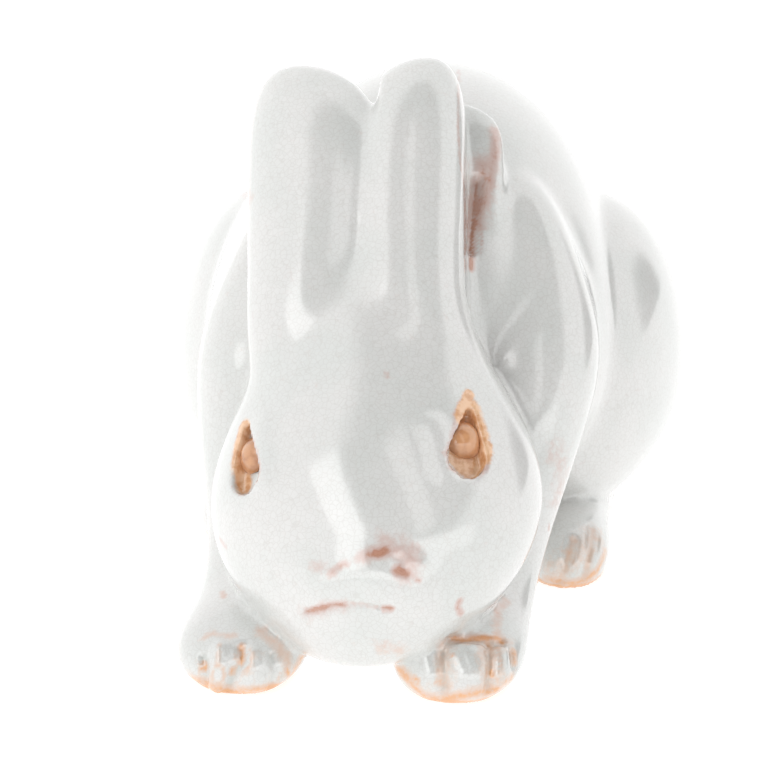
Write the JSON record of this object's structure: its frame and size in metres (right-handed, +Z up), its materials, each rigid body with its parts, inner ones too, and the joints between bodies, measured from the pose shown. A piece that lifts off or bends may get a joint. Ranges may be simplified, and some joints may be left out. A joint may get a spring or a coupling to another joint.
{
  "type": "ceramic rabbit figurine",
  "caption": "Crouching rabbit figurine in glazed terracotta, with a hollow body and head, laid-back ears and amber glazed eyes.",
  "frame": {"origin": "the middle of the outline on the surface that the figurine stands on", "axes": "+Z up; -Y the way the rabbit faces; +X the rabbit's left, on the right of a viewer who faces it"},
  "size_m": [0.1202, 0.2022, 0.1138],
  "materials": {
    "glazed_body": "glossy cream-white crackle glaze over terracotta",
    "amber_eye": "glossy amber glaze"
  },
  "bodies": {
    "root": {"torso_shell": "glazed_body", "head_shell": "glazed_body", "left_ear": "glazed_body", "right_ear": "glazed_body", "left_eye": "amber_eye", "right_eye": "amber_eye", "left_foreleg": "glazed_body", "right_foreleg": "glazed_body", "left_haunch": "glazed_body", "right_haunch": "glazed_body", "left_hind_foot": "glazed_body", "right_hind_foot": "glazed_body", "tail": "glazed_body"}
  },
  "joints": []
}
